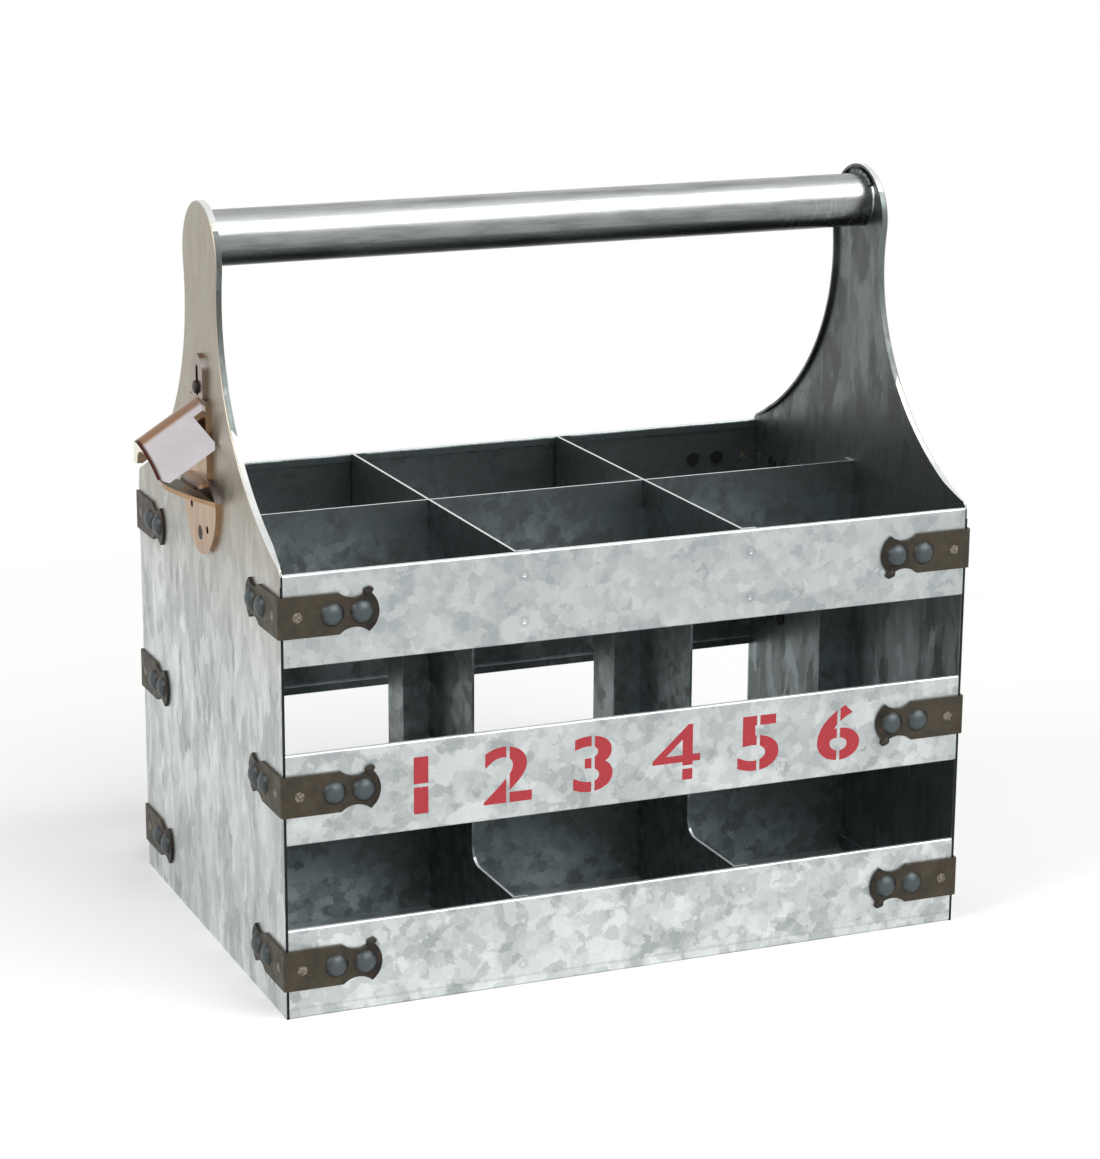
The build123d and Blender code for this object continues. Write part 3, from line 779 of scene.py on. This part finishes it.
def copper_plate():
    """Copper-plated steel, tan below, with painted reflections: brown on the ridge, nearly white on
    the flanks.
    """
    opener = bpy.context.scene.caddy_opener
    material, tree, shader = new_material("worn_copper_plate")
    place = add_node(tree, "TexCoord", (), "Object")
    # Streaks some 11 mm wide, twice as long downwards
    streaked = add_node(tree, "Mapping", {"Vector": place, "Scale": (90.0, 90.0, 45.0)})
    streaks = add_node(tree, "TexNoise", {"Vector": streaked, "Scale": 1.0, "Detail": 4.0}, "Fac")
    normal = add_node(tree, "NewGeometry", (), "Normal")
    upwards = add_node(tree, "SeparateXYZ", [normal], "Z")
    sideways = add_node(
        tree, "Math", [add_node(tree, "SeparateXYZ", [normal], "Y")], operation="ABSOLUTE",
    )
    colour = add_node(
        tree, "Mix", {
            SHARE: add_node(tree, "MapRange", [streaks, 0.36, 0.66, 0.0, 0.4]),
            BELOW: opener.copper, ABOVE: opener.toned_copper_and_ridge_reflection,
        },
        MIXED, data_type="RGBA",
    )
    # Lug against the ear: worn back to grey steel
    level = add_node(tree, "SeparateXYZ", [place], "Z")
    colour = add_node(
        tree, "Mix", {
            SHARE: add_node(tree, "MapRange", [level, 246 * MM, 256 * MM, 0.0, 0.7]),
            BELOW: colour, ABOVE: linear(BARED_STEEL),
        },
        MIXED, data_type="RGBA",
    )
    # Painted reflection on the ridge, which looks up and out: toned brown as if it mirrored dark
    # surroundings
    brown_ridge_reflection = add_node(
        tree, "Math", [
            add_node(tree, "MapRange", [upwards, 0.35, 0.6]),
            add_node(tree, "MapRange", [sideways, 0.62, 0.45]),
        ],
        operation="MULTIPLY",
    )
    colour = add_node(
        tree, "Mix", {
            SHARE: add_node(tree, "Math", [brown_ridge_reflection, 0.75], operation="MULTIPLY"),
            BELOW: colour, ABOVE: opener.toned_copper_and_ridge_reflection,
        },
        MIXED, data_type="RGBA",
    )
    # Painted reflection on the flanks, which look sideways and up: nearly white as if they mirrored
    # bright surroundings
    pale_flank_reflection = add_node(
        tree, "Math", [
            add_node(tree, "MapRange", [sideways, 0.5, 0.64]),
            add_node(tree, "MapRange", [upwards, 0.2, 0.4]),
        ],
        operation="MULTIPLY",
    )
    colour = add_node(
        tree, "Mix",
        {SHARE: pale_flank_reflection, BELOW: colour, ABOVE: opener.flank_reflection},
        MIXED, data_type="RGBA",
    )
    # Front rim: a painted shadow line where the hood bends, and a pale painted reflection of the
    # floor on the lip below it
    along = (-math.cos(HOOD_ANGLE), 0.0, -math.sin(HOOD_ANGLE))
    across = (-math.sin(HOOD_ANGLE), 0.0, math.cos(HOOD_ANGLE))
    centre = [OPENER_ROOT[i] + HOOD_CENTRE * along[i] for i in range(3)]
    offset = add_node(tree, "VectorMath", [place, centre], operation="SUBTRACT")
    offset = add_node(
        tree, "VectorMath",
        [offset, add_node(tree, "VectorMath", [offset, across], operation="PROJECT")],
        operation="SUBTRACT",
    )
    away = add_node(tree, "VectorMath", [offset], "Value", operation="LENGTH")
    outer = add_node(tree, "MapRange", [upwards, 0.2, 0.35])
    bend_shadow = add_node(
        tree, "Math",
        [add_node(tree, "MapRange", [away, HOOD_RADIUS + 2.4 * MM, HOOD_RADIUS + 1.2 * MM]), outer],
        operation="MULTIPLY",
    )
    colour = add_node(
        tree, "Mix",
        {SHARE: bend_shadow, BELOW: colour, ABOVE: linear(HOOD_BEND_SHADOW)},
        MIXED, data_type="RGBA",
    )
    # Painted reflection of the light floor on the lip's downturned face
    lip = add_node(
        tree, "Math", [
            add_node(tree, "MapRange", [away, HOOD_RADIUS + 0.4 * MM, HOOD_RADIUS + 0.1 * MM]),
            add_node(tree, "MapRange", [upwards, -0.15, -0.3]),
        ],
        operation="MULTIPLY",
    )
    colour = add_node(
        tree, "Mix", {SHARE: lip, BELOW: colour, ABOVE: opener.lip}, MIXED, data_type="RGBA",
    )
    # Painted shade: the jaw's top under the hood, nearly black
    jaw = add_node(
        tree, "Math", [
            add_node(tree, "MapRange", [upwards, 0.8, 0.9]),
            add_node(tree, "MapRange", [level, JAW_RIM + 1 * MM, JAW_RIM]),
        ],
        operation="MULTIPLY",
    )
    colour = add_node(
        tree, "Mix",
        {SHARE: jaw, BELOW: colour, ABOVE: linear(JAW_SHADE)},
        MIXED, data_type="RGBA",
    )
    tree.links.new(colour, shader.inputs["Base Color"])
    shader.inputs["Metallic"].default_value = 1.0
    tree.links.new(
        add_node(tree, "MapRange", [streaks, 0.0, 1.0, 0.18, 0.36]), shader.inputs["Roughness"],
    )
    return material


def stencil_paint():
    """Matt red stencil paint, thin enough to show the zinc's frost where it is rubbed."""
    numerals = bpy.context.scene.caddy_numerals
    sheet = bpy.context.scene.caddy_sheet
    material, tree, shader = new_material("red_stencil_paint")
    place = add_node(tree, "TexCoord", (), "Object")
    mottle = add_node(
        tree, "TexNoise",
        {"Vector": place, "Scale": 1 / (5 * MM), "Detail": 5.0, "Roughness": 0.7},
        "Fac",
    )
    deep = tuple(0.72 * c for c in numerals.red_paint)
    paint = add_node(
        tree, "Mix",
        {SHARE: mottle, BELOW: deep, ABOVE: numerals.red_paint},
        MIXED, data_type="RGBA",
    )
    fine = add_node(
        tree, "TexNoise",
        {"Vector": place, "Scale": 1 / (1.2 * MM), "Detail": 4.0, "Roughness": 0.7},
        "Fac",
    )
    rubbed = add_node(tree, "MapRange", [fine, 0.66, 0.76, 0.0, 0.7])
    colour = add_node(
        tree, "Mix",
        {SHARE: rubbed, BELOW: paint, ABOVE: sheet.light_zinc},
        MIXED, data_type="RGBA",
    )
    tree.links.new(colour, shader.inputs["Base Color"])
    shader.inputs["Roughness"].default_value = 0.5
    return material


def seen_directly(tree):
    """1 where the camera or a reflection sees a surface, 0 where it only lights others."""
    camera = add_node(tree, "LightPath", (), "Is Camera Ray")
    glossy = add_node(tree, "LightPath", (), "Is Glossy Ray")
    through = add_node(tree, "LightPath", (), "Is Transmission Ray")
    straight = add_node(tree, "Math", [camera, glossy], operation="MAXIMUM")
    return add_node(tree, "Math", [straight, through], operation="MAXIMUM")


class CADDY_OT_galvanise_sheet(bpy.types.Operator):
    """Give the slats, end panels, tray and dividers their galvanised finish"""

    bl_idname = "caddy.galvanise_sheet"
    bl_label = "Galvanise the sheet metal"

    def execute(self, context):
        sheet = galvanised_sheet("galvanised_sheet")
        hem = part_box("front_bottom_slat")[0].z + 4 * MM
        hem_shadowed = galvanised_sheet("galvanised_sheet_hem_shadow", seam_height=hem)
        drawn = galvanised_sheet("galvanised_drawn_sheet", stretch=0.4)
        dress(["left_end_panel", "right_end_panel"], drawn)
        dress(["base_tray", "long_divider", "left_cross_divider", "right_cross_divider"], sheet)
        dress(SLATS, sheet)
        dress(["front_bottom_slat", "rear_bottom_slat"], hem_shadowed)
        return {"FINISHED"}


class CADDY_OT_plate_handle(bpy.types.Operator):
    """Give the handle tube its bright zinc plating"""

    bl_idname = "caddy.plate_handle"
    bl_label = "Plate the handle tube"

    def execute(self, context):
        dress(["handle_tube"], drawn_tube())
        return {"FINISHED"}


class CADDY_OT_oxidise_straps(bpy.types.Operator):
    """Give the corner straps, rivets and pins their oxidised iron"""

    bl_idname = "caddy.oxidise_straps"
    bl_label = "Oxidise the straps and rivets"

    def execute(self, context):
        iron = oxidised_iron()
        steel = rivet_steel()
        dress(STRAPS, iron)
        dress(RIVETS, steel)
        dress(PINS, pin_steel())
        return {"FINISHED"}


class CADDY_OT_plate_opener(bpy.types.Operator):
    """Give the bottle opener its copper plating"""

    bl_idname = "caddy.plate_opener"
    bl_label = "Plate the opener"

    def execute(self, context):
        dress(["bottle_opener"], copper_plate())
        dress(["opener_rivets"], bpy.data.materials["oxidised_strap_iron"])
        return {"FINISHED"}


class CADDY_OT_paint_numerals(bpy.types.Operator):
    """Paint a row of stencilled numerals on the front middle slat"""

    bl_idname = "caddy.paint_numerals"
    bl_label = "Paint the numerals"

    def execute(self, context):
        settings = context.scene.caddy_numerals
        if not settings.text:
            raise RuntimeError("There are no numerals to paint")
        low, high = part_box("front_middle_slat")
        middle = (low.z + high.z) / 2
        pitch = (settings.row_end - settings.row_start) / max(1, len(settings.text) - 1)
        row = bmesh.new()
        for position, numeral in enumerate(settings.text):
            place = Vector((settings.row_start + position * pitch, low.y, middle))
            row.from_mesh(self.numeral_mesh(numeral, place, settings))
        mesh = bpy.data.meshes.new("slat_numerals")
        row.to_mesh(mesh)
        row.free()
        mesh.materials.append(stencil_paint())
        numerals = bpy.data.objects.new("slat_numerals", mesh)
        context.scene.collection.objects.link(numerals)
        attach(numerals, "root")
        return {"FINISHED"}

    def numeral_mesh(self, numeral, place, settings):
        """One numeral, stood up on the slat's face and cut through by the stencil's bridge."""
        curve = bpy.data.curves.new("numeral", "FONT")
        curve.body = numeral
        curve.offset = 0.0 if numeral in NARROW_EYED else settings.boldness
        curve.extrude = 0.5
        curve.resolution_u = 6
        source = bpy.data.objects.new("numeral", curve)
        mesh = bpy.data.meshes.new_from_object(source)
        bpy.data.objects.remove(source)
        shape = bmesh.new()
        shape.from_mesh(mesh)
        bmesh.ops.remove_doubles(shape, verts=shape.verts, dist=0.0001)
        low = Vector((min(v.co.x for v in shape.verts), min(v.co.y for v in shape.verts), 0))
        high = Vector((max(v.co.x for v in shape.verts), max(v.co.y for v in shape.verts), 0))
        bmesh.ops.translate(shape, verts=shape.verts, vec=-(low + high) / 2)
        size = settings.height / (high.y - low.y)
        stretch = (size * NUMERAL_WIDENING, size, settings.paint)
        bmesh.ops.scale(shape, verts=shape.verts, vec=stretch)
        axis, shift = BRIDGES.get(numeral, (0, 0.0))
        normal = Vector((axis == 0, axis == 1, 0))
        middle = shift * settings.height
        for side in (-1, 1):
            bmesh.ops.bisect_plane(
                shape, geom=shape.verts[:] + shape.edges[:] + shape.faces[:], dist=0.000001,
                plane_co=normal * (middle + side * settings.bridge / 2), plane_no=normal,
            )
        between = [
            f for f in shape.faces
            if abs(f.calc_center_median()[axis] - middle) < settings.bridge / 2 - 0.00001
        ]
        bmesh.ops.delete(shape, geom=between, context="FACES")
        bmesh.ops.holes_fill(shape, edges=[e for e in shape.edges if e.is_boundary], sides=0)
        upright = Matrix.Rotation(math.pi / 2, 3, "X")
        bmesh.ops.rotate(shape, verts=shape.verts, cent=(0, 0, 0), matrix=upright)
        bmesh.ops.translate(shape, verts=shape.verts, vec=place)
        bmesh.ops.recalc_face_normals(shape, faces=shape.faces)
        shape.to_mesh(mesh)
        shape.free()
        return mesh


def melted_lumps(context, name, lumps):
    """Mesh of overlapping lumps run together into one skin. Frees the lumps."""
    mesh = bpy.data.meshes.new("lumps")
    lumps.to_mesh(mesh)
    lumps.free()
    source = bpy.data.objects.new("lumps", mesh)
    context.scene.collection.objects.link(source)
    melted = source.modifiers.new("melt", "REMESH")
    melted.mode = "VOXEL"
    melted.voxel_size = MELT_GRAIN
    settled = source.modifiers.new("settle", "SMOOTH")
    settled.iterations = 3
    melt = bpy.data.meshes.new_from_object(source.evaluated_get(context.evaluated_depsgraph_get()))
    melt.name = name
    bpy.data.objects.remove(source)
    if not melt.polygons:
        raise RuntimeError(f"The lumps of {name} didn't melt")
    return melt


class CADDY_OT_tack_straps(bpy.types.Operator):
    """Leave a small rough tack on one horn of each strap on the front"""

    bl_idname = "caddy.tack_straps"
    bl_label = "Tack the straps"

    def execute(self, context):
        lumps = bmesh.new()
        for side in (-1, 1):
            for level in ("bottom", "middle", "top"):
                name = f"front_{'left' if side < 0 else 'right'}_{level}_strap"
                low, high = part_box(name)
                middle = (low.z + high.z) / 2
                for across, up, size in TACK_LUMPS:
                    place = Vector((
                        side * (PANEL_OUTSIDE - TACK_REACH - across * MM), low.y + 0.4 * MM,
                        middle - side * (TACK_RISE + up * MM),
                    ))
                    bmesh.ops.create_icosphere(
                        lumps, subdivisions=2, radius=size * MM,
                        matrix=Matrix.Translation(place) @ Matrix.Diagonal((1.1, 0.75, 0.9, 1)),
                    )
        mesh = melted_lumps(context, "strap_tacks", lumps)
        mesh.materials.clear()
        mesh.materials.append(bpy.data.materials["oxidised_strap_iron"])
        tacks = bpy.data.objects.new("strap_tacks", mesh)
        context.scene.collection.objects.link(tacks)
        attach(tacks, "root")
        return {"FINISHED"}


class CADDY_OT_weld_handle(bpy.types.Operator):
    """Lay a lumpy run of weld over the top of the handle tube at each end panel"""

    bl_idname = "caddy.weld_handle"
    bl_label = "Weld the handle"

    def execute(self, context):
        low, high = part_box("handle_tube")
        middle = Vector((0, 0, (low.z + high.z) / 2))
        lumps = bmesh.new()
        for side in (-1, 1):
            for turn, size, inward in WELD_LUMPS:
                lift = Vector((0, 0, TUBE_RADIUS + 0.2 * size * MM))
                around = Matrix.Rotation(math.radians(turn), 3, "X") @ lift
                place = middle + around + Vector((side * (PANEL_INSIDE - inward * MM), 0, 0))
                bmesh.ops.create_icosphere(
                    lumps, subdivisions=2, radius=size * MM,
                    matrix=Matrix.Translation(place) @ Matrix.Diagonal((0.9, 1.15, 0.8, 1)),
                )
        melt = melted_lumps(context, "handle_welds", lumps)
        shape = bmesh.new()
        shape.from_mesh(melt)
        # Nothing of a weld goes through its panel
        for side in (-1, 1):
            bmesh.ops.bisect_plane(
                shape, geom=shape.verts[:] + shape.edges[:] + shape.faces[:], dist=0.000001,
                plane_co=(side * PANEL_INSIDE, 0, 0), plane_no=(side, 0, 0), clear_outer=True,
            )
        bmesh.ops.holes_fill(shape, edges=[e for e in shape.edges if e.is_boundary], sides=0)
        bmesh.ops.recalc_face_normals(shape, faces=shape.faces)
        for face in shape.faces:
            face.smooth = True
        shape.to_mesh(melt)
        shape.free()
        melt.materials.clear()
        melt.materials.append(weld_metal())
        welds = bpy.data.objects.new("handle_welds", melt)
        context.scene.collection.objects.link(welds)
        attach(welds, "root")
        return {"FINISHED"}


class CADDY_OT_set_stage(bpy.types.Operator):
    """Lay the floor, hang the lamps and place the camera"""

    bl_idname = "caddy.set_stage"
    bl_label = "Set the stage"

    def execute(self, context):
        stage = context.scene.caddy_stage
        self.lay_floor(context, stage)
        self.hang_lamps(context)
        self.light_world(context)
        self.place_camera(context, stage)
        return {"FINISHED"}

    def lay_floor(self, context, stage):
        """Plain pale floor under the caddy."""
        shape = bmesh.new()
        bmesh.ops.create_grid(shape, x_segments=1, y_segments=1, size=stage.floor_size / 2)
        bmesh.ops.translate(shape, verts=shape.verts, vec=(0, 0, cad_box[0].z))
        mesh = bpy.data.meshes.new("studio_floor")
        shape.to_mesh(mesh)
        shape.free()
        material, tree, shader = new_material("matt_white_floor")
        shader.inputs["Base Color"].default_value = (*stage.floor_colour, 1)
        shader.inputs["Roughness"].default_value = 0.9
        shader.inputs["Specular IOR Level"].default_value = 0.0
        # Away from the caddy the floor is seen as plain white, like the world behind it
        place = add_node(tree, "TexCoord", (), "Object")
        away = add_node(tree, "VectorMath", [place], "Value", operation="LENGTH")
        seen = seen_directly(tree)
        share = add_node(
            tree, "Math",
            [add_node(tree, "MapRange", [away, 0.22, 0.75]), seen],
            operation="MULTIPLY",
        )
        white = add_node(tree, "Emission", {"Color": (1, 1, 1, 1), "Strength": 1.0})
        mixed = add_node(tree, "MixShader", [share, shader.outputs[0], white])
        tree.links.new(mixed, tree.nodes["Material Output"].inputs["Surface"])
        mesh.materials.append(material)
        floor = bpy.data.objects.new("studio_floor", mesh)
        context.scene.collection.objects.link(floor)

    def hang_lamps(self, context):
        """A wide soft key over the right front, and a small one from the left."""
        middle = (cad_box[0] + cad_box[1]) / 2
        for name, (corner, width, height, power) in LAMPS.items():
            place = Vector(corner)
            lamp = bpy.data.lights.new(name, "AREA")
            lamp.shape = "RECTANGLE"
            lamp.size = width
            lamp.size_y = height
            lamp.energy = power
            holder = bpy.data.objects.new(name, lamp)
            aim = (middle - place).to_track_quat("-Z", "Y").to_matrix().to_4x4()
            holder.matrix_world = Matrix.Translation(place) @ aim
            context.scene.collection.objects.link(holder)

    def light_world(self, context):
        """Even light all round, and plain white where the camera sees past the floor."""
        world = bpy.data.worlds.new("studio_world")
        world.use_nodes = True
        tree = world.node_tree
        around = tree.nodes["Background"]
        around.inputs["Color"].default_value = (1, 1, 1, 1)
        around.inputs["Strength"].default_value = 0.6
        seen = add_node(tree, "Background", {"Color": (1, 1, 1, 1), "Strength": 1.0})
        both = add_node(tree, "MixShader", [seen_directly(tree), around.outputs[0], seen])
        tree.links.new(both, tree.nodes["World Output"].inputs["Surface"])
        context.scene.world = world
        context.scene.view_settings.view_transform = "Standard"

    def place_camera(self, context, stage):
        """Camera at the photograph's place, with the photograph's framing."""
        long_side = max(stage.image_width, stage.image_height)
        data = bpy.data.cameras.new("photo_camera")
        data.sensor_width = 36.0
        data.lens = stage.focal_length * data.sensor_width / long_side
        data.shift_x = (stage.image_width / 2 - stage.axis_across) / long_side
        data.shift_y = (stage.axis_down - stage.image_height / 2) / long_side
        data.clip_start = 0.05
        data.clip_end = 100.0
        camera = bpy.data.objects.new("photo_camera", data)
        camera.matrix_world = (
            Matrix.Translation(Vector(stage.camera_place))
            @ Matrix.Rotation(-stage.camera_turn, 4, "Z")
            @ Matrix.Rotation(math.pi / 2 - stage.camera_tilt, 4, "X")
            @ Matrix.Rotation(-stage.camera_roll, 4, "Z")
        )
        context.scene.collection.objects.link(camera)
        context.scene.camera = camera


class CADDY_PT_panel(bpy.types.Panel):
    """Steps that dress the caddy, with their sizes and colours"""

    bl_idname = "CADDY_PT_panel"
    bl_label = "Bottle caddy"
    bl_space_type = "VIEW_3D"
    bl_region_type = "UI"
    bl_category = "Caddy"

    def draw(self, context):
        for group in GROUPS:
            box = self.layout.box()
            for name in GROUPS[group].__annotations__:
                box.prop(getattr(context.scene, group), name)
        for step in STEPS:
            self.layout.operator(step.bl_idname)


GROUPS = {
    "caddy_sheet": SheetSettings,
    "caddy_handle": HandleSettings,
    "caddy_straps": StrapSettings,
    "caddy_opener": OpenerSettings,
    "caddy_numerals": NumeralSettings,
    "caddy_stage": StageSettings,
}
STEPS = (
    CADDY_OT_galvanise_sheet,
    CADDY_OT_plate_handle,
    CADDY_OT_oxidise_straps,
    CADDY_OT_plate_opener,
    CADDY_OT_paint_numerals,
    CADDY_OT_tack_straps,
    CADDY_OT_weld_handle,
    CADDY_OT_set_stage,
)


def register():
    for kind in (*GROUPS.values(), *STEPS, CADDY_PT_panel):
        bpy.utils.register_class(kind)
    for name, group in GROUPS.items():
        setattr(bpy.types.Scene, name, PointerProperty(type=group))


def unregister():
    for name in GROUPS:
        delattr(bpy.types.Scene, name)
    for kind in (CADDY_PT_panel, *reversed(STEPS), *reversed(GROUPS.values())):
        bpy.utils.unregister_class(kind)


def main():
    register()
    bpy.ops.caddy.galvanise_sheet()
    bpy.ops.caddy.plate_handle()
    bpy.ops.caddy.oxidise_straps()
    bpy.ops.caddy.plate_opener()
    bpy.ops.caddy.paint_numerals()
    bpy.ops.caddy.tack_straps()
    bpy.ops.caddy.weld_handle()
    bpy.ops.caddy.set_stage()


if __name__ == "__main__":
    main()
